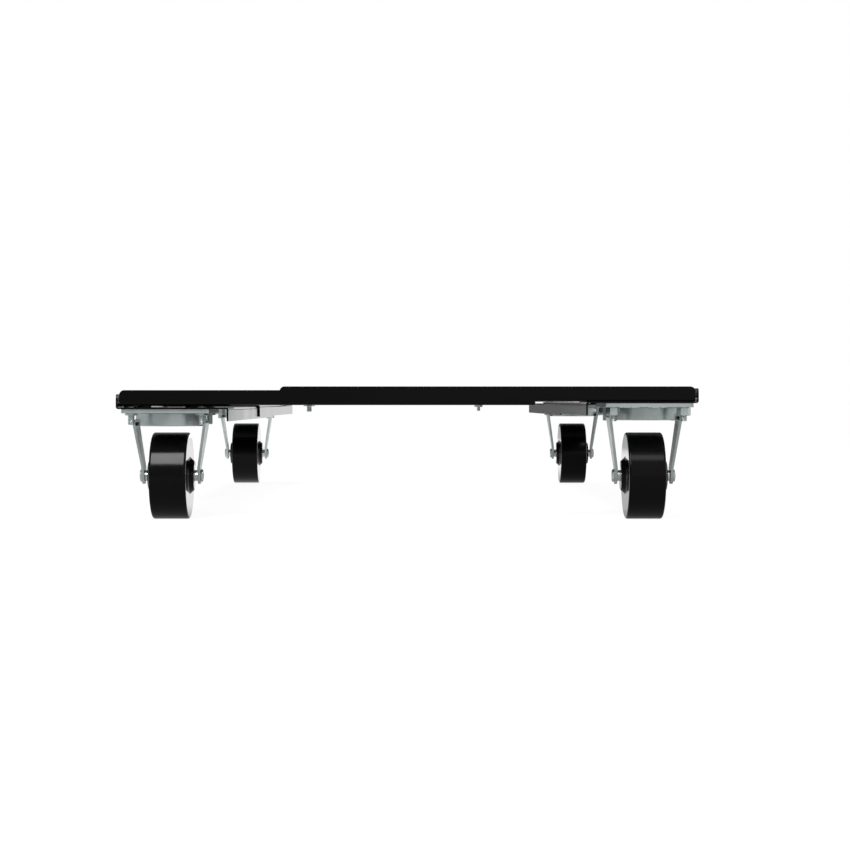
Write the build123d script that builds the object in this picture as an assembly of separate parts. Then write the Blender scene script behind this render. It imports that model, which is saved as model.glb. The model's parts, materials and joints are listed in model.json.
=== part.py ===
from build123d import *
import os
from math import cos, pi, sin

# Adjustable file cabinet dolly: four telescoping corner pieces of bent sheet, each on a swivel caster.
# Frame: origin on the floor under the middle of the dolly, +X right, +Y to the rear, +Z up. Millimetres.

# Sheet frame
FRAME_W = 670.0            # over the side lips, as shown
FRAME_L = 1219.0           # over the cross lips, as shown
SHEET = 2.0                # sheet thickness
NEST_GAP = 0.3             # running gap between nested sheets
BEND_R = 1.0               # inside radius of the bends
LIP_H = 17.2               # lip height over the web's underside
FLANGE_H = 16.0            # flange height under the web's top
WEB_W = 129.0              # side rail, lip face to flange face
CROSS_W = 129.0            # cross rail, lip face to free edge
SIDE_LAP = 305.0           # overlap of two side rails, as shown
CROSS_LAP = 293.0          # overlap of two cross rails, as shown
CROSS_END_GAP = 0.9        # cross rail's outer end to the bend of its side rail's lip
LIP_CORNER_R = 5.7         # rounded free corners of the lips
FLANGE_CORNER_R = 2.0      # rounded free corners of the flanges
FOOT_W = 10.0              # spacing foot under a raised cross rail, at its outer end
FOOT_L = 40.0              # the foot, front to rear

# Ends of the travel
SIDE_LAP_LEFT = 150.0      # overlap of the side rails when pulled out fully
CROSS_LAP_LEFT = 120.0     # overlap of the cross rails when pulled out fully
STOP_GAP = 2.5             # left between the pieces when fully closed

# Corner rivets
RIVET_D = 6.0
RIVET_HEAD_D = 11.0
RIVET_HEAD_H = 2.2
RIVET_HEAD_R = 1.8         # rounding of the head
RIVET_COLLAR_D = 14.0
RIVET_HOLE_GAP = 0.05
OUTER_RIVET_X = 25.0       # from the caster's axis towards the outside
OUTER_RIVET_Y = 41.0       # from the caster's axis towards the end
INNER_RIVET_X = 18.0       # from the caster's axis towards the inside
INNER_RIVET_Y = 50.0       # from the caster's axis towards the middle

# Lock bolts
LOCK_D = 6.0
LOCK_INSET = 31.0          # from the rail's free end
SIDE_LOCK_X = 27.0         # length lock from the caster's axis towards the outside
LOCK_COLLAR_D = 12.0
LOCK_HOLE_GAP = 0.2
LOCK_SLOT_GAP = 0.5        # each side of the bolt in its slot
LOCK_SLOT_SPARE = 2.0      # slot length left beyond the travel
LOCK_NUT_AF = 12.0
LOCK_NUT_H = 4.1
LOCK_ROUND_NUT_D = 13.5    # round retaining nut of the front lock
LOCK_ROUND_NUT_H = 1.0
LOCK_TIP = 6.4             # bolt end below the nut
LOCK_END_CHAMFER = 0.6

# Caster plate and swivel head
CASTER_INSET_X = 56.4      # caster axes of a side from the outer face of its front rail
CASTER_INSET_Y = 60.0      # caster axis from the end face of the frame
PLATE_W = 102.0
PLATE_L = 114.3
PLATE_T = 4.8
PLATE_CORNER_R = 3.0
RING_D = 82.0              # raceway ring of the fork
RING_WALL = 3.2
RING_GAP = 0.4             # ring's rim under the plate
RING_EDGE_R = 1.0
POCKET_H = 11.8            # plate underside to the floor of the ring
BALL_PLAY = 0.2            # above and below the balls
BALL_RING_R = 31.0
BALL_COUNT = 16
KINGPIN_D = 12.0
KINGPIN_HEAD_D = 18.0      # countersunk head, flush with the fork
KINGPIN_HEAD_H = 3.0
KINGPIN_GAP = 0.05         # running clearance in the fork
KINGPIN_HEAD_GAP = 0.3
KINGPIN_SEAT_GAP = 0.02    # in the plate
BOSS_D = 25.0              # bearing boss about the kingpin
BOSS_GAP = 0.6             # boss under the plate

# Caster mounting bolts and the low heads that all bolts have
BOLT_D = 8.0
BOLT_SPACING_X = 81.0
BOLT_SPACING_Y = 92.0
BOLT_HOLE_GAP = 0.25
THREAD_GAP = 0.05
BOLT_END_CHAMFER = 0.8
LOW_HEAD_D = 13.0
LOW_HEAD_H = 2.2
LOW_HEAD_R = 1.2           # rounding of the head
TALL_NUT_AF = 14.3
TALL_NUT_H = 9.6
TALL_NUT_TIP = 6.4
THIN_NUT_AF = 13.0
THIN_NUT_H = 2.6
THIN_NUT_TIP = 10.8
NUT_CHAMFER = 0.6

# Fork, wheel and axle
WHEEL_D = 101.6
WHEEL_W = 43.0
TREAD_R = 2.5              # tread corner fillet
HUB_BASE_R = 21.4
HUB_FACE_R = 17.0
HUB_H = 5.5
WHEEL_TOP_GAP = 7.7        # tread to the ring's floor on the lowest caster
LEAD = 8.0                 # axle behind the swivel axis
FORK_T = 3.2
FORK_TOP_W = 87.0          # over the legs at their top
FORK_AXLE_W = 68.6         # over the legs at the axle
FORK_DEPTH = 42.0
EAR_RISE = 4.8             # ears of the legs above the underside of the ring
FORK_END_R = 9.9           # rounded leg end about the axle
FORK_KNEE = 9.0            # straight leg above the axle
FORK_EAR_R = 5.0           # outside radius of the bends at the ears
FORK_KNEE_R = 4.0
AXLE_D = 7.94
AXLE_HOLE_GAP = 0.1
AXLE_HEAD_AF = 12.7
AXLE_HEAD_H = 2.8
AXLE_NUT_H = 2.8
AXLE_TIP = 0.6
BUSHING_D = 12.7
BUSHING_END_GAP = 0.1
WHEEL_BORE_GAP = 0.05

# Derived heights and places
PITCH = SHEET + NEST_GAP
RAISE = PITCH + NEST_GAP                       # room for one sheet under a raised cross rail
AXLE_Z = WHEEL_D / 2
WEB_Z = WHEEL_D + WHEEL_TOP_GAP + FORK_T + POCKET_H + PLATE_T
BALL_D = POCKET_H - 2 * BALL_PLAY
CASTER_Y = FRAME_L / 2 - CASTER_INSET_Y
CROSS_INSET = SHEET + BEND_R + CROSS_END_GAP   # cross rail's outer end from its side rail's outer face
SIDE_LEN = (FRAME_L + SIDE_LAP) / 2
CROSS_LEN = (FRAME_W - PITCH + CROSS_LAP) / 2 - CROSS_INSET

# Travel from the shown setting
LENGTH_OPEN = SIDE_LAP - SIDE_LAP_LEFT
LENGTH_CLOSE = FRAME_L - SIDE_LEN - CROSS_W - 2 * PITCH - STOP_GAP
WIDTH_OPEN = CROSS_LAP - CROSS_LAP_LEFT
WIDTH_CLOSE = FRAME_W / 2 - PITCH - WEB_W - CROSS_LAP / 2 - STOP_GAP
CUT = 1.0                                      # overshoot of cutting tools
HEX_SIDES = 6


class Corner:
    """One corner piece: side is -1 left or +1 right, end is -1 front or +1 rear, level counts sheets up."""

    def __init__(self, name, side, end, level):
        self.name = name
        self.side = side
        self.end = end
        self.upper = level % 2 == 1             # nests inside and above its neighbour's side rail
        self.web_z = WEB_Z + level * PITCH
        self.web_top = self.web_z + SHEET
        self.rail_x = FRAME_W / 2 - (PITCH if self.upper else 0)
        self.flange_x = self.rail_x - WEB_W
        self.cross_x = self.rail_x - CROSS_INSET
        self.caster_x = FRAME_W / 2 - (PITCH if side > 0 else 0) - CASTER_INSET_X
        self.end_y = FRAME_L / 2 - (PITCH if side > 0 else 0)
        self.cross_z = self.web_top + (0 if self.upper else RAISE)
        self.cross_top = self.cross_z + SHEET
        self.plate_z = self.web_z - PLATE_T
        self.crown_top = self.plate_z - POCKET_H
        self.crown_z = self.crown_top - FORK_T

    def at(self, x, y):
        """A place given in outward distances from the dolly's middle."""
        return self.side * x, self.end * y

    @property
    def caster(self):
        return self.at(self.caster_x, CASTER_Y)

    @property
    def bolt_places(self):
        x, y = self.caster
        return [
            (x + i * BOLT_SPACING_X / 2, y + j * BOLT_SPACING_Y / 2)
            for i in (-1, 1)
            for j in (-1, 1)
        ]

    @property
    def rivet_places(self):
        return [
            self.at(self.caster_x + OUTER_RIVET_X, CASTER_Y + OUTER_RIVET_Y),
            self.at(self.caster_x - INNER_RIVET_X, CASTER_Y - INNER_RIVET_Y),
        ]

    @property
    def side_lock(self):
        """Place of the length lock, at the free end of an upper side rail."""
        return self.at(self.caster_x + SIDE_LOCK_X, self.end_y - SIDE_LEN + LOCK_INSET)

    @property
    def cross_lock(self):
        """Place of the width lock, at the free end of an upper corner's cross rail."""
        return self.at(self.cross_x - CROSS_LEN + LOCK_INSET, FRAME_L / 2 - CROSS_W / 2)


front_left = Corner("front_left", -1, -1, 0)
rear_left = Corner("rear_left", -1, 1, 1)
rear_right = Corner("rear_right", 1, 1, 2)
front_right = Corner("front_right", 1, -1, 3)
CORNERS = [front_left, rear_left, rear_right, front_right]


# Small shapes
def upright(radius, low, high, place):
    """A vertical cylinder between two heights."""
    x, y = place
    return Pos(x, y, low) * Cylinder(radius, high - low, align=(Align.CENTER, Align.CENTER, Align.MIN))


def hexagon_face(across_flats):
    return RegularPolygon(across_flats / 2, HEX_SIDES, major_radius=False)


def hexagon(across_flats, low, high, place):
    """A vertical hexagon prism, chamfered below."""
    x, y = place
    corner_r = across_flats / 2 / cos(pi / HEX_SIDES)
    prism = Pos(x, y, low) * extrude(hexagon_face(across_flats), high - low)
    barrel = upright(corner_r + CUT, low, high, place)
    return prism & chamfer(barrel.faces().sort_by(Axis.Z)[0].edges(), NUT_CHAMFER + CUT)


def low_head(seat, place):
    """A low round bolt head standing on a web."""
    head = upright(LOW_HEAD_D / 2, seat, seat + LOW_HEAD_H, place)
    return fillet(head.faces().sort_by(Axis.Z)[-1].edges(), LOW_HEAD_R)


def bolt_end(radius, low, high, place, bevel):
    """A shank with a bevelled lower end."""
    shank = upright(radius, low, high, place)
    return chamfer(shank.faces().sort_by(Axis.Z)[0].edges(), bevel)


def slot_cut(place, length_low, length_high, along_y, low, high):
    """A long hole for a lock bolt, reaching both ways from the bolt's place."""
    x, y = place
    width = LOCK_D + 2 * LOCK_SLOT_GAP
    overall = length_high - length_low + width
    middle = (length_low + length_high) / 2
    slot = SlotOverall(overall, width, rotation=90 if along_y else 0)
    shift = (x, y + middle) if along_y else (x + middle, y)
    return Pos(*shift, low) * extrude(slot, high - low)


def bent_face(points, bends, plane):
    """A closed section with its bend corners rounded: bends holds (corner, radius) pairs."""
    face = plane * make_face(Polyline(*points, close=True))
    for corner, radius in bends:
        target = plane.from_local_coords(Vector(*corner))
        vertex = face.vertices().sort_by_distance(target)[0]
        face = fillet(vertex, radius)
    return face


# Sheet rails
def side_rail(corner):
    s = corner.side
    x_out, x_in, z = corner.rail_x, corner.flange_x, corner.web_z
    top = z + SHEET
    points = [
        (s * x_out, z),
        (s * x_out, z + LIP_H),
        (s * (x_out - SHEET), z + LIP_H),
        (s * (x_out - SHEET), top),
        (s * x_in, top),
        (s * x_in, top - FLANGE_H),
        (s * (x_in + SHEET), top - FLANGE_H),
        (s * (x_in + SHEET), z),
    ]
    bends = [
        (points[0], BEND_R + SHEET),
        (points[3], BEND_R),
        (points[4], BEND_R + SHEET),
        (points[7], BEND_R),
    ]
    low_y = min(corner.end * corner.end_y, corner.end * (corner.end_y - SIDE_LEN))
    plane = Plane(origin=(0, low_y, 0), x_dir=(1, 0, 0), z_dir=(0, -1, 0))
    rail = extrude(bent_face(points, bends, plane), -SIDE_LEN)
    rail = fillet(rail.edges().filter_by(Axis.X).group_by(Axis.Z)[-1], LIP_CORNER_R)
    rail = fillet(rail.edges().filter_by(Axis.X).group_by(Axis.Z)[0], FLANGE_CORNER_R)
    low, high = z - CUT, top + CUT
    for place in corner.bolt_places:
        rail -= upright(BOLT_D / 2 + BOLT_HOLE_GAP, low, high, place)
    for place in corner.rivet_places:
        rail -= upright(RIVET_D / 2 + RIVET_HOLE_GAP, low, high, place)
    if corner.upper:
        return rail - upright(LOCK_D / 2 + LOCK_HOLE_GAP, low, high, corner.side_lock)
    mate = next(c for c in CORNERS if c.side == corner.side and c is not corner)
    ends = corner.end * (LENGTH_CLOSE + LOCK_SLOT_SPARE), -corner.end * (LENGTH_OPEN + LOCK_SLOT_SPARE)
    return rail - slot_cut(mate.side_lock, min(ends), max(ends), True, low, high)


def cross_rail(corner):
    e = corner.end
    y_out, z = corner.end_y, corner.cross_z
    points = [
        (e * y_out, z),
        (e * y_out, z + LIP_H),
        (e * (y_out - SHEET), z + LIP_H),
        (e * (y_out - SHEET), z + SHEET),
        (e * (y_out - CROSS_W), z + SHEET),
        (e * (y_out - CROSS_W), z),
    ]
    bends = [(points[0], BEND_R + SHEET), (points[3], BEND_R)]
    low_x = min(corner.side * corner.cross_x, corner.side * (corner.cross_x - CROSS_LEN))
    plane = Plane(origin=(low_x, 0, 0), x_dir=(0, 1, 0), z_dir=(1, 0, 0))
    rail = extrude(bent_face(points, bends, plane), CROSS_LEN)
    rail = fillet(rail.edges().filter_by(Axis.Y).group_by(Axis.Z)[-1], LIP_CORNER_R)
    low, high = z - RAISE - CUT, corner.cross_top + CUT
    if not corner.upper:
        foot_z = (corner.web_top + z) / 2
        rail += Pos(*corner.at(corner.cross_x - FOOT_W / 2, CASTER_Y), foot_z) * Box(FOOT_W, FOOT_L, RAISE)
    for place in corner.rivet_places:
        rail -= upright(RIVET_D / 2 + RIVET_HOLE_GAP, low, high, place)
    if corner.upper:
        for place in corner.bolt_places:
            rail -= upright(BOLT_D / 2 + BOLT_HOLE_GAP, low, high, place)
        return rail - upright(LOCK_D / 2 + LOCK_HOLE_GAP, low, high, corner.cross_lock)
    mate = next(c for c in CORNERS if c.end == e and c is not corner)
    ends = corner.side * (WIDTH_CLOSE + LOCK_SLOT_SPARE), -corner.side * (WIDTH_OPEN + LOCK_SLOT_SPARE)
    return rail - slot_cut(mate.cross_lock, min(ends), max(ends), False, low, high)


def corner_rivets(corner):
    """Rivets through both webs, flush below, with a spacing collar under a raised cross rail."""
    rivets = []
    for place in corner.rivet_places:
        head = upright(RIVET_HEAD_D / 2, corner.cross_top, corner.cross_top + RIVET_HEAD_H, place)
        head = fillet(head.faces().sort_by(Axis.Z)[-1].edges(), RIVET_HEAD_R)
        rivet = head + upright(RIVET_D / 2, corner.web_z, corner.cross_top, place)
        if not corner.upper:
            rivet += upright(RIVET_COLLAR_D / 2, corner.web_top, corner.cross_z, place)
        rivets.append(rivet)
    return Compound(children=rivets)


# Casters
def caster_plate(corner):
    x, y = corner.caster
    low, high = corner.plate_z - CUT, corner.web_z + CUT
    plate = Pos(x, y, corner.plate_z + PLATE_T / 2) * Box(PLATE_W, PLATE_L, PLATE_T)
    plate = fillet(plate.edges().filter_by(Axis.Z), PLATE_CORNER_R)
    plate -= upright(KINGPIN_D / 2 + KINGPIN_SEAT_GAP, low, high, corner.caster)
    for place in corner.bolt_places:
        plate -= upright(BOLT_D / 2 + BOLT_HOLE_GAP, low, high, place)
    return plate


def caster_bolts(corner):
    """Heads on the cross rail, or on the side rail where a raised cross rail leaves room for them."""
    seat = corner.cross_top if corner.upper else corner.web_top
    reach = TALL_NUT_H + TALL_NUT_TIP if corner.upper else THIN_NUT_H + THIN_NUT_TIP
    end_z = corner.plate_z - reach
    bolts = [
        low_head(seat, place) + bolt_end(BOLT_D / 2, end_z, seat, place, BOLT_END_CHAMFER)
        for place in corner.bolt_places
    ]
    return Compound(children=bolts)


def caster_nuts(corner):
    across, height = (TALL_NUT_AF, TALL_NUT_H) if corner.upper else (THIN_NUT_AF, THIN_NUT_H)
    low, high = corner.plate_z - height, corner.plate_z
    nuts = [
        hexagon(across, low, high, place)
        - upright(BOLT_D / 2 + THREAD_GAP, low - CUT, high + CUT, place)
        for place in corner.bolt_places
    ]
    return Compound(children=nuts)


def countersink(corner, gap):
    """The cone of the kingpin's head, grown by a gap."""
    x, y = corner.caster
    low_r, high_r = KINGPIN_HEAD_D / 2 + gap, KINGPIN_D / 2 + gap
    cone = Cone(low_r, high_r, KINGPIN_HEAD_H, align=(Align.CENTER, Align.CENTER, Align.MIN))
    return Pos(x, y, corner.crown_z) * cone


def kingpin(corner):
    return countersink(corner, 0) + upright(KINGPIN_D / 2, corner.crown_z, corner.web_z, corner.caster)


def swivel_balls(corner):
    x, y = corner.caster
    z = corner.crown_top + POCKET_H / 2
    balls = []
    for i in range(BALL_COUNT):
        angle = 2 * pi * i / BALL_COUNT
        place = (x + BALL_RING_R * cos(angle), y + BALL_RING_R * sin(angle), z)
        balls.append(Pos(*place) * Sphere(BALL_D / 2))
    return Compound(children=balls)


def swivel_head(corner):
    """The raceway ring and its floor, still without the pocket for the balls."""
    ring = upright(RING_D / 2, corner.crown_z, corner.plate_z - RING_GAP, corner.caster)
    return fillet(ring.faces().sort_by(Axis.Z)[0].edges(), RING_EDGE_R)


def fork(corner):
    """Two legs with ears on the swivel head, slanting in to a rounded end about the axle."""
    x, y = corner.caster
    top_x, axle_x = FORK_TOP_W / 2, FORK_AXLE_W / 2
    end_z, knee_z = AXLE_Z - FORK_END_R - CUT, AXLE_Z + FORK_KNEE
    ear, ear_top = corner.crown_z + EAR_RISE, corner.crown_z + EAR_RISE + FORK_T
    ear_x = top_x - FORK_T - (top_x - axle_x) * FORK_T / (ear_top - knee_z)
    outer = [(axle_x, end_z), (axle_x, knee_z), (top_x, ear_top)]
    inner = [(ear_x, ear), (axle_x - FORK_T, knee_z), (axle_x - FORK_T, end_z)]
    half = inner + outer
    points = half + [(-u, v) for u, v in reversed(half)]
    bends = []
    for sign in (-1, 1):
        bends.append(((sign * top_x, ear_top), FORK_EAR_R))
        bends.append(((sign * ear_x, ear), FORK_EAR_R - FORK_T))
        bends.append(((sign * axle_x, knee_z), FORK_KNEE_R))
        bends.append(((sign * (axle_x - FORK_T), knee_z), FORK_KNEE_R + FORK_T))
    front = Plane(origin=(x, y, 0), x_dir=(1, 0, 0), z_dir=(0, -1, 0))
    strip = extrude(bent_face(points, bends, front), FORK_DEPTH, both=True)
    ear_band = Pos(0, (ear + ear_top) / 2) * Rectangle(FORK_DEPTH, FORK_T)
    eye = Pos(LEAD, AXLE_Z) * Circle(FORK_END_R)
    outline = make_hull((ear_band + eye).edges())
    aside = Plane(origin=(x, y, 0), x_dir=(0, 1, 0), z_dir=(1, 0, 0))
    shape = strip & extrude(aside * outline, FORK_TOP_W, both=True)
    shape += swivel_head(corner)
    shape -= upright(RING_D / 2 - RING_WALL, corner.crown_top, corner.plate_z, corner.caster)
    shape += upright(BOSS_D / 2, corner.crown_z, corner.plate_z - BOSS_GAP, corner.caster)
    shape -= upright(KINGPIN_D / 2 + KINGPIN_GAP, corner.crown_z - CUT, corner.plate_z, corner.caster)
    shape -= countersink(corner, KINGPIN_HEAD_GAP)
    return shape - across_cylinder(corner, AXLE_D / 2 + AXLE_HOLE_GAP, -FORK_TOP_W, FORK_TOP_W)


def across_cylinder(corner, radius, low_x, high_x):
    """A cylinder along the axle, between two distances from the caster's middle."""
    x, y = corner.caster
    bar = Cylinder(radius, high_x - low_x, align=(Align.CENTER, Align.CENTER, Align.MIN))
    return Pos(x + low_x, y + LEAD, AXLE_Z) * Rot(0, 90, 0) * bar


def across_hexagon(corner, across_flats, low_x, high_x):
    x, y = corner.caster
    prism = extrude(hexagon_face(across_flats), high_x - low_x)
    return Pos(x + low_x, y + LEAD, AXLE_Z) * Rot(0, 90, 0) * prism


def wheel(corner):
    x, y = corner.caster
    tread = Cylinder(WHEEL_D / 2, WHEEL_W)
    tread = fillet(tread.edges().filter_by(GeomType.CIRCLE), TREAD_R)
    for turn in (0, 180):
        boss = Cone(HUB_BASE_R, HUB_FACE_R, HUB_H, align=(Align.CENTER, Align.CENTER, Align.MIN))
        tread += Rot(turn, 0, 0) * Pos(0, 0, WHEEL_W / 2) * boss
    tread -= Cylinder(BUSHING_D / 2 + WHEEL_BORE_GAP, WHEEL_W + 2 * HUB_H + CUT)
    return Pos(x, y + LEAD, AXLE_Z) * Rot(0, 90, 0) * tread


def wheel_bushing(corner):
    half = FORK_AXLE_W / 2 - FORK_T - BUSHING_END_GAP
    sleeve = across_cylinder(corner, BUSHING_D / 2, -half, half)
    return sleeve - across_cylinder(corner, AXLE_D / 2 + AXLE_HOLE_GAP, -half - CUT, half + CUT)


def axle_bolt(corner):
    seat = FORK_AXLE_W / 2
    shank = across_cylinder(corner, AXLE_D / 2, -seat, seat + AXLE_NUT_H + AXLE_TIP)
    return shank + across_hexagon(corner, AXLE_HEAD_AF, -seat - AXLE_HEAD_H, -seat)


def axle_nut(corner):
    seat = FORK_AXLE_W / 2
    nut = across_hexagon(corner, AXLE_HEAD_AF, seat, seat + AXLE_NUT_H)
    return nut - across_cylinder(corner, AXLE_D / 2 + THREAD_GAP, seat - CUT, seat + AXLE_NUT_H + CUT)


# Lock bolts
def lock_bolt(place, upper_z, lower_z, rides_upper, nut_h):
    """A bolt down through two webs, clear of the web that slides along it."""
    seat = upper_z + SHEET + (0 if rides_upper else NEST_GAP)
    nut_top = lower_z - (NEST_GAP if rides_upper else 0)
    end_z = nut_top - nut_h - LOCK_TIP
    bolt = low_head(seat, place) + bolt_end(LOCK_D / 2, end_z, seat, place, LOCK_END_CHAMFER)
    low = lower_z + SHEET + (NEST_GAP if rides_upper else 0)
    high = upper_z - (0 if rides_upper else NEST_GAP)
    if high - low > NEST_GAP:
        bolt += upright(LOCK_COLLAR_D / 2, low, high, place)
    return bolt


def lock_nut(place, lower_z, rides_upper, nut_h, round_nut):
    top = lower_z - (NEST_GAP if rides_upper else 0)
    low = top - nut_h
    if round_nut:
        nut = upright(LOCK_ROUND_NUT_D / 2, low, top, place)
    else:
        nut = hexagon(LOCK_NUT_AF, low, top, place)
    return nut - upright(LOCK_D / 2 + THREAD_GAP, low - CUT, top + CUT, place)


# Assemble the nodes and write them
CORNER_PIECES = {
    "side_rail": side_rail,
    "cross_rail": cross_rail,
    "corner_rivets": corner_rivets,
    "caster_plate": caster_plate,
    "caster_bolts": caster_bolts,
    "caster_nuts": caster_nuts,
    "kingpin": kingpin,
    "swivel_balls": swivel_balls,
    "fork": fork,
    "wheel": wheel,
    "wheel_bushing": wheel_bushing,
    "axle_bolt": axle_bolt,
    "axle_nut": axle_nut,
}
nodes = {}
for corner in CORNERS:
    for piece, make in CORNER_PIECES.items():
        nodes[f"{corner.name}_{piece}"] = make(corner)

# name, place, undersides of the upper and lower web, whether it rides the upper one, whether its nut is round
LOCKS = [
    ("front_width", front_right.cross_lock, front_right.cross_z, front_left.cross_z, True, True),
    ("rear_width", rear_left.cross_lock, rear_right.cross_z, rear_left.cross_z, False, False),
    ("left_length", rear_left.side_lock, rear_left.web_z, front_left.web_z, True, False),
    ("right_length", front_right.side_lock, front_right.web_z, rear_right.web_z, True, False),
]
for name, place, upper_z, lower_z, rides_upper, round_nut in LOCKS:
    nut_h = LOCK_ROUND_NUT_H if round_nut else LOCK_NUT_H
    nodes[f"{name}_lock_bolt"] = lock_bolt(place, upper_z, lower_z, rides_upper, nut_h)
    nodes[f"{name}_lock_nut"] = lock_nut(place, lower_z, rides_upper, nut_h, round_nut)

os.makedirs("parts", exist_ok=True)
for name, shape in nodes.items():
    export_step(shape, f"parts/{name}.step")
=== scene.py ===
"""Looks of the adjustable cabinet dolly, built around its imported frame. Metres; +Y runs to the rear end."""

import json
import math

import bmesh
import bpy
from mathutils import Matrix, Vector


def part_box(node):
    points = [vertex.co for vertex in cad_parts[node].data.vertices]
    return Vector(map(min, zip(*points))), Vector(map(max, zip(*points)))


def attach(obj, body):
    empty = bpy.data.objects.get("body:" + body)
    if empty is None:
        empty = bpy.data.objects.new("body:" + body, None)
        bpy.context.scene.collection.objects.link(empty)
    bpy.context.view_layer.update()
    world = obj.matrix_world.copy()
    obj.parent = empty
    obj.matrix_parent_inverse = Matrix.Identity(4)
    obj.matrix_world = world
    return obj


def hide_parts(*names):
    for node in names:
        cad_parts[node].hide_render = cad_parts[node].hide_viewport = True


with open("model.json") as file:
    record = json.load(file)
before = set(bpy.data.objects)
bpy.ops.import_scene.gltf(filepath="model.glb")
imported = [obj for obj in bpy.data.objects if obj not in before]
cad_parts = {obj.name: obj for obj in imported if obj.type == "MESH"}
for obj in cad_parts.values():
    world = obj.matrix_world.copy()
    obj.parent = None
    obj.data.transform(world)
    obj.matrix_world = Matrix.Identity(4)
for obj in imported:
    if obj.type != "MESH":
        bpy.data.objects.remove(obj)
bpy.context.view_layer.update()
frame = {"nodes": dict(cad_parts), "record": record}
MM = 0.001
CORNERS = ("front_left", "front_right", "rear_left", "rear_right")
AXIS_Z = Matrix.Identity(3)
AXIS_X = Matrix(((0, 0, 1), (0, 1, 0), (-1, 0, 0)))      # turns a piece made along +Z to lie along +X

# Mesh limits
SMOOTH_ANGLE = math.radians(35)      # sharper edges stay sharp
WELD = 1e-7                          # points this near become one
SLIVER = 1e-8                        # faces this thin are taken out

# Wheel sizes
WHEEL_W = 43.0 * MM
TREAD_R = 2.5 * MM                   # fillet between tread and side
TREAD_STEPS = 8                      # faces round that fillet
FLAT_HOLD = 0.4 * MM                 # extra ring that keeps tread and sides flat up to their edges
HUB_BASE_R = 21.4 * MM
HUB_FACE_R = 17.0 * MM
HUB_FILLET = 1.2 * MM
HUB_FOOT = 0.4                       # rise of the hub's foot, in fillets
HUB_EDGE = ((0.7, 1.0), (0.3, 0.3), (-0.3, 0.0))     # round the hub's face: out and back, in fillets
BORE_R = 6.4 * MM
BORE_CHAMFER = 0.7 * MM
WHEEL_STEPS = 144

# Fastener sizes
LOW_HEAD_R = 6.5 * MM
LOW_HEAD_H = 2.2 * MM
LOW_HEAD = ((0, 1), (0.62, 1), (0.84, 0.86), (0.96, 0.55), (1, 0.22), (1, 0))    # shares of R and H
BOLT_R = 4.0 * MM
LOCK_R = 3.0 * MM
AXLE_R = 3.97 * MM
AXLE_HEAD_H = 2.8 * MM
LOCK_COLLAR_R = 6.0 * MM
FRONT_COLLAR = (2.0 * MM, 4.0 * MM)    # its two faces below the front lock's head
REAR_COLLAR = (2.6 * MM, 5.2 * MM)     # its two faces below the rear lock's head
NUT_EDGE = 0.25 * MM                 # broken edges of collars and thin nuts
HOLE_LIP = 0.35 * MM                 # bevel of a hexagon nut's hole
HEX_FACE = 0.97                      # round face of a hexagon, as a share of its width across flats
HEX_STEPS = 72
CHAMFER_SLOPE = math.tan(math.radians(30))
THREAD_PITCH = 1.25 * MM
THREAD_DEPTH = 0.55 * MM
THREAD_BEVEL = 1.3 * THREAD_DEPTH    # bevel of a thread's end
THREAD_FLANK = 2.4                   # steepness of the flanks, over 2 leaves a flat crest
THREAD_ROWS = 8                      # rows of points in one pitch
ROUND_STEPS = 40


# Mesh helpers
def new_object(name, data):
    """An object for a mesh, lamp or camera, linked to the scene."""
    made = bpy.data.objects.new(name, data)
    bpy.context.collection.objects.link(made)
    return made


def mesh_piece(name, parts, place=(0, 0, 0), turn=AXIS_Z):
    """One object from grids of points: each part is a list of closed rings, joined one to the next."""
    bm = bmesh.new()
    for rings in parts:
        rows = [[bm.verts.new(turn @ Vector(p)) for p in points] for points in rings]
        for low, high in zip(rows, rows[1:]):
            for i in range(len(low)):
                j = (i + 1) % len(low)
                bm.faces.new((low[i], low[j], high[j], high[i]))
    bmesh.ops.remove_doubles(bm, verts=bm.verts, dist=WELD)
    bmesh.ops.dissolve_degenerate(bm, edges=bm.edges, dist=SLIVER)
    bmesh.ops.recalc_face_normals(bm, faces=bm.faces)
    bmesh.ops.translate(bm, verts=bm.verts, vec=Vector(place))
    mesh = bpy.data.meshes.new(name)
    bm.to_mesh(mesh)
    bm.free()
    mesh.polygons.foreach_set("use_smooth", [True] * len(mesh.polygons))
    mesh.set_sharp_from_angle(angle=SMOOTH_ANGLE)
    return new_object(name, mesh)


def ring(radius, height, steps):
    """A closed ring of points; radius and height are numbers or functions of the angle."""
    points = []
    for i in range(steps):
        angle = math.tau * i / steps
        r = radius(angle) if callable(radius) else radius
        z = height(angle) if callable(height) else height
        points.append((r * math.cos(angle), r * math.sin(angle), z))
    return points


def lathe(profile, steps):
    """Rings turned from (radius, height) pairs."""
    return [ring(r, z, steps) for r, z in profile]


def arc(centre, radius, start, end, steps):
    """Points of a profile's rounding, angles in degrees."""
    points = []
    for i in range(steps + 1):
        angle = math.radians(start + (end - start) * i / steps)
        points.append((centre[0] + radius * math.cos(angle), centre[1] + radius * math.sin(angle)))
    return points


def move(rings, x, y):
    """The rings moved sideways, off the middle axis that they were made on."""
    return [[(px + x, py + y, pz) for px, py, pz in points] for points in rings]


# Node helpers
def feed(tree, value, socket):
    """Links an output to the socket, or sets the socket to a number or a colour."""
    if isinstance(value, bpy.types.NodeSocket):
        tree.links.new(value, socket)
    else:
        socket.default_value = (*value, 1.0) if isinstance(value, tuple) else value


def add(tree, kind, **settings):
    """A node with its properties and socket defaults set; socket names have underscores for spaces."""
    node = tree.nodes.new(kind)
    for key, value in settings.items():
        if hasattr(node, key):
            setattr(node, key, value)
        else:
            feed(tree, value, node.inputs[key.replace("_", " ")])
    return node


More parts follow.
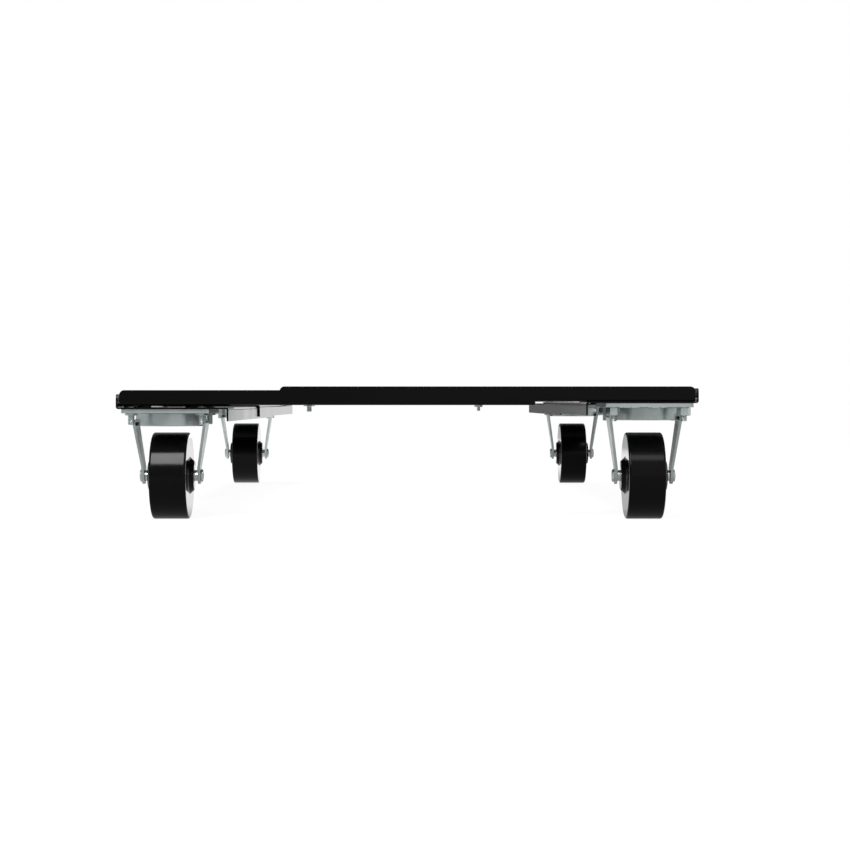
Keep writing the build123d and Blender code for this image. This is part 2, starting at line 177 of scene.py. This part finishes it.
def math_node(tree, operation, first, second, clamp=False):
    """The result of a Math node; first and second are numbers or outputs."""
    node = add(tree, "ShaderNodeMath", operation=operation, use_clamp=clamp)
    feed(tree, first, node.inputs[0])
    feed(tree, second, node.inputs[1])
    return node.outputs[0]


def split_axes(tree, vector):
    """The X, Y and Z outputs of a vector."""
    node = add(tree, "ShaderNodeSeparateXYZ")
    tree.links.new(vector, node.inputs["Vector"])
    return node.outputs


def ramp_value(tree, value, levels, between=(0.0, 1.0), kind="LINEAR"):
    """Goes from one level to the other while the value goes between two numbers."""
    node = add(tree, "ShaderNodeMapRange", interpolation_type=kind)
    for label, number in zip(("From Min", "From Max", "To Min", "To Max"), (*between, *levels)):
        node.inputs[label].default_value = number
    tree.links.new(value, node.inputs["Value"])
    return node.outputs["Result"]


def fade(tree, value, between, start):
    """Rises smoothly from a starting level to 1 while the value goes between two numbers."""
    return ramp_value(tree, value, (start, 1.0), between, "SMOOTHSTEP")


def blend_value(tree, factor, first, second):
    """A value between two, by a factor; the values are numbers or outputs."""
    node = add(tree, "ShaderNodeMix")
    for label, value in (("Factor", factor), ("A", first), ("B", second)):
        feed(tree, value, node.inputs[label])
    return node.outputs["Result"]


def blend_colour(tree, factor, first, second):
    """A colour between two, by a factor; the colours are tuples or outputs."""
    node = add(tree, "ShaderNodeMix", data_type="RGBA")
    tree.links.new(factor, node.inputs["Factor"])
    for label, colour in (("A", first), ("B", second)):
        feed(tree, colour, next(s for s in node.inputs if s.name == label and s.type == "RGBA"))
    return next(s for s in node.outputs if s.type == "RGBA")


# Shared effects, as node groups
EDGE_GAIN = 4.0                      # how soon a turning edge fills the mask
DUST_SHEEN_CLEAN = 0.35                    # where the noise is below this, it stays clean
DUST_SHEEN_GAIN = 2.0


def node_group(name, inputs, outputs):
    """An empty shader group with float inputs (name, default) and outputs (name, type)."""
    tree = bpy.data.node_groups.new(name, "ShaderNodeTree")
    for label, value in inputs:
        socket = tree.interface.new_socket(name=label, in_out="INPUT", socket_type="NodeSocketFloat")
        socket.default_value = value
    for label, kind in outputs:
        tree.interface.new_socket(name=label, in_out="OUTPUT", socket_type=kind)
    return tree, tree.nodes.new("NodeGroupInput"), tree.nodes.new("NodeGroupOutput")


def mottle_group():
    """Soft cloudy variation and a fine grain, both sized in metres."""
    tree, given, out = node_group(
        "mottle_and_grain",
        [("Cloud Size", 0.05), ("Grain Size", 0.001)],
        [("Cloud", "NodeSocketFloat"), ("Grain", "NodeSocketFloat")],
    )
    where = add(tree, "ShaderNodeTexCoord")
    for label, size, detail in (("Cloud", "Cloud Size", 4.0), ("Grain", "Grain Size", 2.0)):
        scale = math_node(tree, "DIVIDE", 1.0, given.outputs[size])
        noise = add(tree, "ShaderNodeTexNoise", Detail=detail, Roughness=0.55)
        tree.links.new(where.outputs["Object"], noise.inputs["Vector"])
        tree.links.new(scale, noise.inputs["Scale"])
        tree.links.new(noise.outputs["Fac"], out.inputs[label])
    return tree


def edge_group():
    """A mask of the outer edges within a width, and the normal that rounds them."""
    tree, given, out = node_group(
        "rounded_edges", [("Width", 0.0006)], [("Edge", "NodeSocketFloat"), ("Normal", "NodeSocketVector")]
    )
    rounded = add(tree, "ShaderNodeBevel", samples=6)
    flat = add(tree, "ShaderNodeNewGeometry")
    facing = add(tree, "ShaderNodeVectorMath", operation="DOT_PRODUCT")
    tree.links.new(given.outputs["Width"], rounded.inputs["Radius"])
    tree.links.new(rounded.outputs["Normal"], facing.inputs[0])
    tree.links.new(flat.outputs["Normal"], facing.inputs[1])
    turned = math_node(tree, "SUBTRACT", 1.0, facing.outputs["Value"])
    tree.links.new(math_node(tree, "MULTIPLY", turned, EDGE_GAIN, clamp=True), out.inputs["Edge"])
    tree.links.new(rounded.outputs["Normal"], out.inputs["Normal"])
    return tree


def dust_sheen_group():
    """A thin film on what faces up, broken up by noise: settled dirt, and where its amount is raised, as on
    the powder coat, a painted sheen that lightens the upward faces.
    """
    tree, given, out = node_group("settled_dust_painted_sheen", [("Amount", 0.2)], [("Dust_Plus_Sheen", "NodeSocketFloat")])
    where = add(tree, "ShaderNodeTexCoord")
    geometry = add(tree, "ShaderNodeNewGeometry")
    upward = split_axes(tree, geometry.outputs["Normal"])["Z"]
    noise = add(tree, "ShaderNodeTexNoise", Scale=38.0, Detail=6.0, Roughness=0.65)
    tree.links.new(where.outputs["Object"], noise.inputs["Vector"])
    patches = math_node(tree, "SUBTRACT", noise.outputs["Fac"], DUST_SHEEN_CLEAN, clamp=True)
    patchy = math_node(tree, "MULTIPLY", patches, DUST_SHEEN_GAIN, clamp=True)
    facing = math_node(tree, "MULTIPLY", upward, patchy, clamp=True)
    tree.links.new(math_node(tree, "MULTIPLY", facing, given.outputs["Amount"]), out.inputs["Dust_Plus_Sheen"])
    return tree


MOTTLE = mottle_group()
EDGES = edge_group()
DUST_SHEEN_FILM = dust_sheen_group()


# Finishes; a pair is what the cloudy variation runs between
BLACK_IOR = 1.2                      # the blacks hardly shine head-on
METAL_IOR = 1.5
COAT_BLACKS = ((0.0013, 0.0013, 0.0012), (0.0024, 0.0023, 0.0022))
# lighter black on the edges: partly a thinner coat, partly a painted edge highlight
COAT_EDGE_HIGHLIGHT = (0.02, 0.0195, 0.019)
COAT_EDGE_HIGHLIGHT_SHARE = 0.3                # how much of that shows: partly a thinner coat there, partly a painted edge highlight
# film on the coat's upward faces: partly settled dirt, partly a painted sheen that lightens them
COAT_DUST_SHEEN = (0.22, 0.21, 0.20)
COAT_ROUGH = (0.10, 0.17)
PLATE_ZINCS = ((0.38, 0.43, 0.425), (0.52, 0.585, 0.575))
PLATE_ROUGH = (0.40, 0.28)
FASTENER_ZINCS = ((0.42, 0.475, 0.47), (0.55, 0.615, 0.605))
FASTENER_ROUGH = (0.34, 0.22)
ZINC_CLOUD = (-0.4, 1.4)             # steeper than the plain variation
ZINC_RUBBED = (0.72, 0.74, 0.73)
ZINC_RUBBED_SHARE = 0.5              # how much of that shows on the edges
ZINC_POLISH = 0.2                    # how much smoother it is where rubbed
ZINC_METALLIC = (0.82, 0.96)
STEEL_GREYS = ((0.46, 0.465, 0.46), (0.60, 0.605, 0.60))
STEEL_ROUGH = (0.18, 0.34)
WHEEL_BLACKS = ((0.0012, 0.0012, 0.0013), (0.0022, 0.0022, 0.0023))
WHEEL_DUST = (0.18, 0.17, 0.16)
WHEEL_ROUGH = (0.14, 0.20)
SIDE_FACING = 0.9                    # a normal this far along the axle is on a side face
SIDE_ROUGH = 0.06                    # the wheels' side faces are polished


def new_material(name):
    """A material with nodes, and its node tree."""
    material = bpy.data.materials.new(name)
    material.use_nodes = True
    return material, material.node_tree


def finish_base(name, metallic, ior):
    """A new material: its tree, its Principled shader and a placer of shared groups."""
    material, tree = new_material(name)
    shader = tree.nodes["Principled BSDF"]
    shader.inputs["Metallic"].default_value = metallic
    shader.inputs["IOR"].default_value = ior

    def place(group, **values):
        node = tree.nodes.new("ShaderNodeGroup")
        node.node_tree = group
        for key, value in values.items():
            node.inputs[key.replace("_", " ")].default_value = value
        return node.outputs

    return material, tree, shader, place


def relief(tree, shader, height, distance, strength, normal=None):
    """Bump from a height, over a rounded normal where one is given."""
    bump = add(tree, "ShaderNodeBump", Strength=strength, Distance=distance)
    tree.links.new(height, bump.inputs["Height"])
    if normal is not None:
        tree.links.new(normal, bump.inputs["Normal"])
    tree.links.new(bump.outputs["Normal"], shader.inputs["Normal"])


def powder_coat():
    """Black powder coat on sheet steel: low gloss head-on, mirror-like at a graze; edges lighter from a thin
    coat and a painted highlight, upward faces from settled dirt and a painted sheen.
    """
    material, tree, shader, place = finish_base("black_powder_coat", 0.0, BLACK_IOR)
    mottle = place(MOTTLE, Cloud_Size=0.09, Grain_Size=0.0022)
    edge = place(EDGES, Width=0.0002)["Edge"]
    # raised amount: a painted sheen on the upward faces as well as settled dirt
    dust_sheen = place(DUST_SHEEN_FILM, Amount=0.06)["Dust_Plus_Sheen"]
    black = blend_colour(tree, mottle["Cloud"], *COAT_BLACKS)
    # edges lightened: partly a thinner coat, partly a painted highlight
    thin = math_node(tree, "MULTIPLY", edge, COAT_EDGE_HIGHLIGHT_SHARE)
    coated = blend_colour(tree, thin, black, COAT_EDGE_HIGHLIGHT)
    tree.links.new(blend_colour(tree, dust_sheen, coated, COAT_DUST_SHEEN), shader.inputs["Base Color"])
    rough = ramp_value(tree, mottle["Cloud"], COAT_ROUGH)
    tree.links.new(math_node(tree, "ADD", rough, dust_sheen, clamp=True), shader.inputs["Roughness"])
    relief(tree, shader, mottle["Grain"], distance=0.02 * MM, strength=0.08)
    return material


def zinc_plating(name, zincs, rough, grain):
    """Dull zinc plating: cloudy passivation, a fine grain and rubbed edges."""
    material, tree, shader, place = finish_base(name, 0.0, METAL_IOR)
    mottle = place(MOTTLE, Cloud_Size=0.018, Grain_Size=grain)
    edges = place(EDGES, Width=0.0005)
    plated = blend_colour(tree, ramp_value(tree, mottle["Cloud"], ZINC_CLOUD), *zincs)
    rubbed = math_node(tree, "MULTIPLY", edges["Edge"], ZINC_RUBBED_SHARE)
    tree.links.new(blend_colour(tree, rubbed, plated, ZINC_RUBBED), shader.inputs["Base Color"])
    tree.links.new(ramp_value(tree, mottle["Cloud"], ZINC_METALLIC), shader.inputs["Metallic"])
    polish = math_node(tree, "MULTIPLY", rubbed, ZINC_POLISH)
    worn = math_node(tree, "SUBTRACT", ramp_value(tree, mottle["Cloud"], rough), polish)
    tree.links.new(worn, shader.inputs["Roughness"])
    relief(tree, shader, mottle["Grain"], distance=0.03 * MM, strength=0.25, normal=edges["Normal"])
    return material


def bearing_steel():
    """Ground steel of the balls and the wheel sleeves, with a thin film of grease."""
    material, tree, shader, place = finish_base("ground_bearing_steel", 1.0, METAL_IOR)
    mottle = place(MOTTLE, Cloud_Size=0.006, Grain_Size=0.0004)
    tree.links.new(blend_colour(tree, mottle["Cloud"], *STEEL_GREYS), shader.inputs["Base Color"])
    tree.links.new(ramp_value(tree, mottle["Cloud"], STEEL_ROUGH), shader.inputs["Roughness"])
    relief(tree, shader, mottle["Grain"], distance=0.01 * MM, strength=0.2)
    return material


def moulded_black():
    """Black moulded wheel with faint flow marks: a tread with a low sheen and polished side faces."""
    material, tree, shader, place = finish_base("moulded_black_wheel", 0.0, BLACK_IOR)
    mottle = place(MOTTLE, Cloud_Size=0.022, Grain_Size=0.0011)
    dust_sheen = place(DUST_SHEEN_FILM, Amount=0.012)["Dust_Plus_Sheen"]
    black = blend_colour(tree, mottle["Cloud"], *WHEEL_BLACKS)
    tree.links.new(blend_colour(tree, dust_sheen, black, WHEEL_DUST), shader.inputs["Base Color"])
    where = add(tree, "ShaderNodeTexCoord")
    sideways = math_node(tree, "ABSOLUTE", split_axes(tree, where.outputs["Normal"])["X"], 0.0)
    on_side = math_node(tree, "GREATER_THAN", sideways, SIDE_FACING)
    tread_rough = ramp_value(tree, mottle["Cloud"], WHEEL_ROUGH)
    tree.links.new(on_side, shader.inputs["Coat Weight"])
    tree.links.new(blend_value(tree, on_side, tread_rough, SIDE_ROUGH), shader.inputs["Roughness"])
    relief(tree, shader, mottle["Grain"], distance=0.02 * MM, strength=0.03)
    return material


FINISHES = {
    "black_sheet": powder_coat(),
    "zinc_plate": zinc_plating("dull_zinc_plate", PLATE_ZINCS, PLATE_ROUGH, grain=0.0007),
    "zinc_hardware": zinc_plating("zinc_fasteners", FASTENER_ZINCS, FASTENER_ROUGH, grain=0.0004),
    "ball_steel": bearing_steel(),
    "black_wheel": moulded_black(),
}


def coat(piece, slot):
    """Gives the piece the finish of a slot, in place of any other."""
    piece.data.materials.clear()
    piece.data.materials.append(FINISHES[slot])


def dress(piece, node, body, slot):
    """The piece stands for a node, moves with its body and takes the finish of a slot."""
    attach(piece, body)
    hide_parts(node)
    coat(piece, slot)


# Wheels
def wheel_section(radius, face):
    """Half of the wheel's section from the middle of its tread to its bore, as (radius, height) pairs."""
    half = WHEEL_W / 2
    hub_foot = HUB_BASE_R + HUB_FILLET
    tread = [(radius, 0.0), (radius, half - TREAD_R - FLAT_HOLD)]
    tread += arc((radius - TREAD_R, half - TREAD_R), TREAD_R, 0, 90, TREAD_STEPS)
    side = [(radius - TREAD_R - FLAT_HOLD, half), (hub_foot + FLAT_HOLD, half), (hub_foot, half)]
    hub = [(HUB_BASE_R, half + HUB_FILLET * HUB_FOOT)]
    hub += [(HUB_FACE_R + HUB_FILLET * out, face - HUB_FILLET * back) for out, back in HUB_EDGE]
    bore = [(BORE_R + BORE_CHAMFER, face), (BORE_R, face - BORE_CHAMFER), (BORE_R, 0.0)]
    return tread + side + hub + bore


def moulded_wheel(corner):
    """The wheel turned about its axle, with rounded tread corners and conical hub bosses."""
    node = f"{corner}_wheel"
    low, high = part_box(node)
    right = wheel_section((high[2] - low[2]) / 2, (high[0] - low[0]) / 2)
    left = [(r, -z) for r, z in right]
    halves = [lathe(right, WHEEL_STEPS), lathe(left, WHEEL_STEPS)]
    wheel = mesh_piece(f"{node}_moulded", halves, (Vector(low) + Vector(high)) / 2, AXIS_X)
    dress(wheel, node, f"{corner}_roller", "black_wheel")


# Fasteners
def thread(radius, low, high):
    """A threaded shank with a bevelled lower end: a fine helical groove of rings."""
    rows = max(2, round((high - low) / THREAD_PITCH * THREAD_ROWS))

    def groove(z):
        def at(angle):
            phase = (z / THREAD_PITCH - angle / math.tau) % 1.0
            crest = min(1.0, THREAD_FLANK * abs(phase - 0.5))
            worn = max(0.0, THREAD_BEVEL - (z - low))
            return radius - max(THREAD_DEPTH * (1 - crest), worn)

        return at

    heights = [low + (high - low) * i / rows for i in range(rows + 1)]
    return [ring(0, low, ROUND_STEPS)] + [ring(groove(z), z, ROUND_STEPS) for z in heights]


def low_screw(radius, end, grip, seat):
    """A low round head on its seat, a shank down to the top of the nut's grip, and a thread to the end."""
    outline = [(LOW_HEAD_R * r, seat + LOW_HEAD_H * h) for r, h in LOW_HEAD]
    head = lathe(outline + [(radius, seat)], ROUND_STEPS)
    shank = lathe([(radius, grip), (radius, seat)], ROUND_STEPS)
    return [head, shank, thread(radius, end, grip)]


def hexagon(across_flats, low, high, hole, bevel_high=True):
    """A nut or head as rings from its hole, over its bevelled faces and flats, and back down the hole."""
    face_r = across_flats / 2 * HEX_FACE
    lip = HOLE_LIP if hole else 0.0

    def outline(angle):
        return across_flats / 2 / math.cos((angle % (math.tau / 6)) - math.tau / 12)

    def lower_edge(angle):
        return low + (outline(angle) - face_r) * CHAMFER_SLOPE

    def upper_edge(angle):
        return high - (outline(angle) - face_r) * CHAMFER_SLOPE

    rings = [
        ring(hole, low + lip, HEX_STEPS),
        ring(hole + lip, low, HEX_STEPS),
        ring(face_r, low, HEX_STEPS),
        ring(outline, lower_edge, HEX_STEPS),
        ring(outline, upper_edge if bevel_high else high, HEX_STEPS),
        ring(face_r if bevel_high else outline, high, HEX_STEPS),
        ring(hole + lip, high, HEX_STEPS),
        ring(hole, high - lip, HEX_STEPS),
    ]
    return rings + rings[:1] if hole else rings


def round_nut(radius, hole, low, high):
    """A thin round nut with broken edges, as rings up its outside and back down its hole."""
    profile = [(hole, low), (radius - NUT_EDGE, low), (radius, low + NUT_EDGE), (radius, high - NUT_EDGE)]
    return lathe(profile + [(radius - NUT_EDGE, high), (hole, high), (hole, low)], ROUND_STEPS)


def bolt_pattern(low, high, half):
    """The four places of round heads that fill the box, half being their radius."""
    return [(x, y) for x in (low[0] + half, high[0] - half) for y in (low[1] + half, high[1] - half)]


def caster_fasteners(corner):
    """The caster's mounting bolts with cut threads, and their bevelled nuts."""
    low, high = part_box(f"{corner}_caster_bolts")
    nut_low, nut_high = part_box(f"{corner}_caster_nuts")
    seat = high[2] - LOW_HEAD_H
    places = bolt_pattern(low, high, LOW_HEAD_R)
    corner_r = (nut_high[0] - nut_low[0]) / 2 - (places[2][0] - places[0][0]) / 2
    across = corner_r * 2 * math.cos(math.radians(30))
    screw = low_screw(BOLT_R, low[2], nut_high[2], seat)
    nut = hexagon(across, nut_low[2], nut_high[2], BOLT_R)
    bolts = mesh_piece(f"{corner}_mounting_bolts", [move(rings, x, y) for x, y in places for rings in screw])
    nuts = mesh_piece(f"{corner}_mounting_nuts", [move(nut, x, y) for x, y in places])
    dress(bolts, f"{corner}_caster_bolts", corner, "zinc_hardware")
    dress(nuts, f"{corner}_caster_nuts", corner, "zinc_hardware")


def axle_fasteners(corner):
    """The axle bolt with its hexagon head, and its nut."""
    low, high = (Vector(v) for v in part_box(f"{corner}_axle_bolt"))
    nut_low, nut_high = (Vector(v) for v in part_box(f"{corner}_axle_nut"))
    across = high.y - low.y
    length = high.x - low.x
    nut_at, nut_end = nut_low.x - low.x, nut_high.x - low.x
    start = Vector((low.x, (low.y + high.y) / 2, (low.z + high.z) / 2))
    head = hexagon(across, 0, AXLE_HEAD_H, 0, bevel_high=False)
    shank = lathe([(AXLE_R, AXLE_HEAD_H), (AXLE_R, nut_at)], ROUND_STEPS)
    end = [[(x, y, length - z) for x, y, z in points] for points in thread(AXLE_R, 0, length - nut_at)]
    bolt = mesh_piece(f"{corner}_axle_screw", [head, shank, end], start, AXIS_X)
    nut = mesh_piece(f"{corner}_axle_lock_nut", [hexagon(across, nut_at, nut_end, AXLE_R)], start, AXIS_X)
    dress(bolt, f"{corner}_axle_bolt", f"{corner}_swivel", "zinc_hardware")
    dress(nut, f"{corner}_axle_nut", f"{corner}_swivel", "zinc_hardware")


def lock_fasteners(lock, body, hexagonal, collar):
    """A lock bolt with its cut thread, a spacing collar where one is given, and its nut."""
    low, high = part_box(f"{lock}_lock_bolt")
    nut_low, nut_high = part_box(f"{lock}_lock_nut")
    x, y = (low[0] + high[0]) / 2, (low[1] + high[1]) / 2
    seat = high[2] - LOW_HEAD_H
    screw = low_screw(LOCK_R, low[2], nut_high[2], seat)
    if collar:
        screw.append(round_nut(LOCK_COLLAR_R, LOCK_R, seat - collar[1], seat - collar[0]))
    if hexagonal:
        rings = hexagon(nut_high[1] - nut_low[1], nut_low[2], nut_high[2], LOCK_R)
    else:
        rings = round_nut((nut_high[0] - nut_low[0]) / 2, LOCK_R, nut_low[2], nut_high[2])
    bolt = mesh_piece(f"{lock}_lock_screw", [move(part, x, y) for part in screw])
    nut = mesh_piece(f"{lock}_lock_clinch_nut", [move(rings, x, y)])
    dress(bolt, f"{lock}_lock_bolt", body, "zinc_hardware")
    dress(nut, f"{lock}_lock_nut", body, "zinc_hardware")


# The dressed dolly: new pieces, then the finishes of the nodes
LOCKS = (                            # lock, body that it rides, whether its nut is a hexagon, spacing collar
    ("front_width", "front_right", False, FRONT_COLLAR),
    ("rear_width", "rear_left", True, REAR_COLLAR),
    ("left_length", "rear_left", True, None),
    ("right_length", "front_right", True, None),
)
for corner in CORNERS:
    moulded_wheel(corner)
    caster_fasteners(corner)
    axle_fasteners(corner)
for lock in LOCKS:
    lock_fasteners(*lock)
for part in frame["record"]["subparts"]:
    coat(frame["nodes"][part["node"]], part["material_slot"])


# Camera
IMAGE = 850                          # pixels, both ways
FOCAL = 2070.0                       # pixels
HORIZON = (413.2, 403.15)            # pixel that the level camera looks at
EYE = (0.0055, -2.9785, 0.136)
SENSOR = 36.0

camera = new_object("camera", bpy.data.cameras.new("camera"))
camera.location = EYE
camera.rotation_euler = (math.radians(90), 0, 0)
camera.data.sensor_width = SENSOR
camera.data.lens = SENSOR * FOCAL / IMAGE
camera.data.shift_x = 0.5 - HORIZON[0] / IMAGE
camera.data.shift_y = HORIZON[1] / IMAGE - 0.5
camera.data.clip_end = 100
bpy.context.scene.camera = camera


# Lamps
SOFTBOXES = (                        # name, place, target, size, radiance
    ("key_softbox", (-0.55, -2.07, 1.80), (-0.28, -0.59, 0.06), (0.45, 1.38), 26.0),
    ("fill_softbox", (0.55, -2.15, 2.0), (0.28, -0.59, 0.06), (0.5, 0.60), 4.7),
    ("top_softbox", (0.2, 0.4, 2.6), (0, 0, 0.1), (2.4, 2.4), 0.5),
    ("rear_softbox", (0.62, 3.4, 0.62), (-0.25, 0.0, 0.1), (1.1, 1.2), 0.55),
)


def softbox(name, place, target, size, radiance):
    """A rectangular lamp aimed at a target; radiance is what a mirror would show of it."""
    lamp = bpy.data.lights.new(name, "AREA")
    lamp.shape = "RECTANGLE"
    lamp.size, lamp.size_y = size
    lamp.energy = radiance * math.pi * size[0] * size[1]
    box = new_object(name, lamp)
    box.location = place
    box.rotation_euler = (Vector(target) - Vector(place)).to_track_quat("-Z", "Y").to_euler()
    box.visible_camera = False


for row in SOFTBOXES:
    softbox(*row)


# Room and floor
FRONT_LEVEL = 0.85                   # of the room behind the camera, in gloss
FRONT_FADE = (-0.35, 0.6)            # direction along Y, from that level to white at the rear
LEFT_LEVEL = 0.45                    # share of it left at the far left, in gloss
LEFT_FADE = (-0.12, 0.04)            # direction along X, from that share to the whole
SOFT_LEVEL = 0.35                    # even light from all round
FLOOR_REACH = 60.0
FLOOR_COLOUR = (0.72, 0.72, 0.72)    # as it lights the dolly
FLOOR_SHADE = (0.2, 0.2, 0.2)        # the part of the seen floor that takes the shadow
FLOOR_GLOW = 0.93                    # of white, as the camera sees the floor
FLOOR_FRONT = 0.38                   # share of it left in gloss, well in front of the dolly
FLOOR_FADE = (-0.55, -0.05)          # where that share grows to the whole, along Y
FLOOR_SLANT = 0.5                    # how much further back that is to the right, along X
FLOOR_CROSS = 1.7                    # Y where what the left and the right wheels' sides reflect crosses over
FLOOR_CROSS_FADE = (-0.25, 0.0)      # X times the way beyond it, from the right wheels' part to the left's
FLOOR_RIGHT = 0.45                   # share of the floor left, in gloss, in the right wheels' part
FLAG_Y = 1.5
FLAG_X = (0.0, 0.42)
FLAG_Z = (0.085, 0.30)
FLAG_COLOUR = (0.25, 0.25, 0.25, 1)


def backdrop_rays(tree):
    """Marks of the rays that come from the camera, and of all that see the backdrop in any way."""
    path = add(tree, "ShaderNodeLightPath").outputs
    seen = math_node(tree, "MAXIMUM", path["Is Camera Ray"], path["Is Glossy Ray"])
    return path["Is Camera Ray"], math_node(tree, "MAXIMUM", seen, path["Is Transmission Ray"])


def studio_world():
    """White all round for the camera; gloss sees a white rear, greyer to the left and in front."""
    world = bpy.data.worlds.new("studio")
    bpy.context.scene.world = world
    world.use_nodes = True
    tree = world.node_tree
    by_camera, seen = backdrop_rays(tree)
    direction = split_axes(tree, add(tree, "ShaderNodeTexCoord").outputs["Generated"])
    rear = fade(tree, direction["Y"], FRONT_FADE, FRONT_LEVEL)
    left = fade(tree, direction["X"], LEFT_FADE, LEFT_LEVEL)
    room = math_node(tree, "MULTIPLY", rear, left)
    shown = math_node(tree, "MAXIMUM", room, by_camera)
    background = tree.nodes["Background"]
    background.inputs["Color"].default_value = (1, 1, 1, 1)
    tree.links.new(blend_value(tree, seen, SOFT_LEVEL, shown), background.inputs["Strength"])


def stage_sheet(name, corners, material):
    """A flat sheet of the studio, which isn't part of the dolly."""
    mesh = bpy.data.meshes.new(name)
    mesh.from_pydata(corners, [], [(0, 1, 2, 3)])
    mesh.materials.append(material)
    sheet = new_object(name, mesh)
    return sheet


def floor_in_gloss(tree):
    """Share of the floor that a gloss sees: less in front, and where the right wheels' sides look."""
    place = split_axes(tree, add(tree, "ShaderNodeTexCoord").outputs["Object"])
    across = math_node(tree, "MULTIPLY", place["X"], FLOOR_SLANT)
    along = math_node(tree, "SUBTRACT", place["Y"], across)
    front = fade(tree, along, FLOOR_FADE, FLOOR_FRONT)
    beyond = math_node(tree, "SUBTRACT", place["Y"], FLOOR_CROSS)
    crossed = math_node(tree, "MULTIPLY", place["X"], beyond)
    sides = fade(tree, crossed, FLOOR_CROSS_FADE, FLOOR_RIGHT)
    return math_node(tree, "MINIMUM", front, sides)


def studio_floor():
    """A plain white floor that keeps a soft shadow under the wheels."""
    material, tree = new_material("white_floor")
    tree.nodes.remove(tree.nodes["Principled BSDF"])
    by_camera, seen = backdrop_rays(tree)
    plain = add(tree, "ShaderNodeBsdfDiffuse", Color=FLOOR_COLOUR)
    shaded = add(tree, "ShaderNodeBsdfDiffuse", Color=FLOOR_SHADE)
    share = math_node(tree, "MAXIMUM", floor_in_gloss(tree), by_camera)
    glow = add(tree, "ShaderNodeEmission", Strength=math_node(tree, "MULTIPLY", share, FLOOR_GLOW))
    lit = add(tree, "ShaderNodeAddShader")
    choose = add(tree, "ShaderNodeMixShader")
    tree.links.new(shaded.outputs[0], lit.inputs[0])
    tree.links.new(glow.outputs[0], lit.inputs[1])
    tree.links.new(seen, choose.inputs[0])
    tree.links.new(plain.outputs[0], choose.inputs[1])
    tree.links.new(lit.outputs[0], choose.inputs[2])
    tree.links.new(choose.outputs[0], tree.nodes["Material Output"].inputs["Surface"])
    around = ((-1, -1), (1, -1), (1, 1), (-1, 1))
    stage_sheet("floor", [(x * FLOOR_REACH, y * FLOOR_REACH, 0) for x, y in around], material)


def grey_flag():
    """A small grey card behind the dolly that the right flanges reflect."""
    material, tree = new_material("grey_card")
    shader = tree.nodes["Principled BSDF"]
    shader.inputs["Base Color"].default_value = FLAG_COLOUR
    shader.inputs["Roughness"].default_value = 1.0
    (left, right), (low, high) = FLAG_X, FLAG_Z
    around = ((left, low), (right, low), (right, high), (left, high))
    flag = stage_sheet("flag", [(x, FLAG_Y, z) for x, z in around], material)
    flag.visible_camera = False
    flag.visible_shadow = False


studio_world()
studio_floor()
grey_flag()
bpy.context.scene.view_settings.view_transform = "Standard"
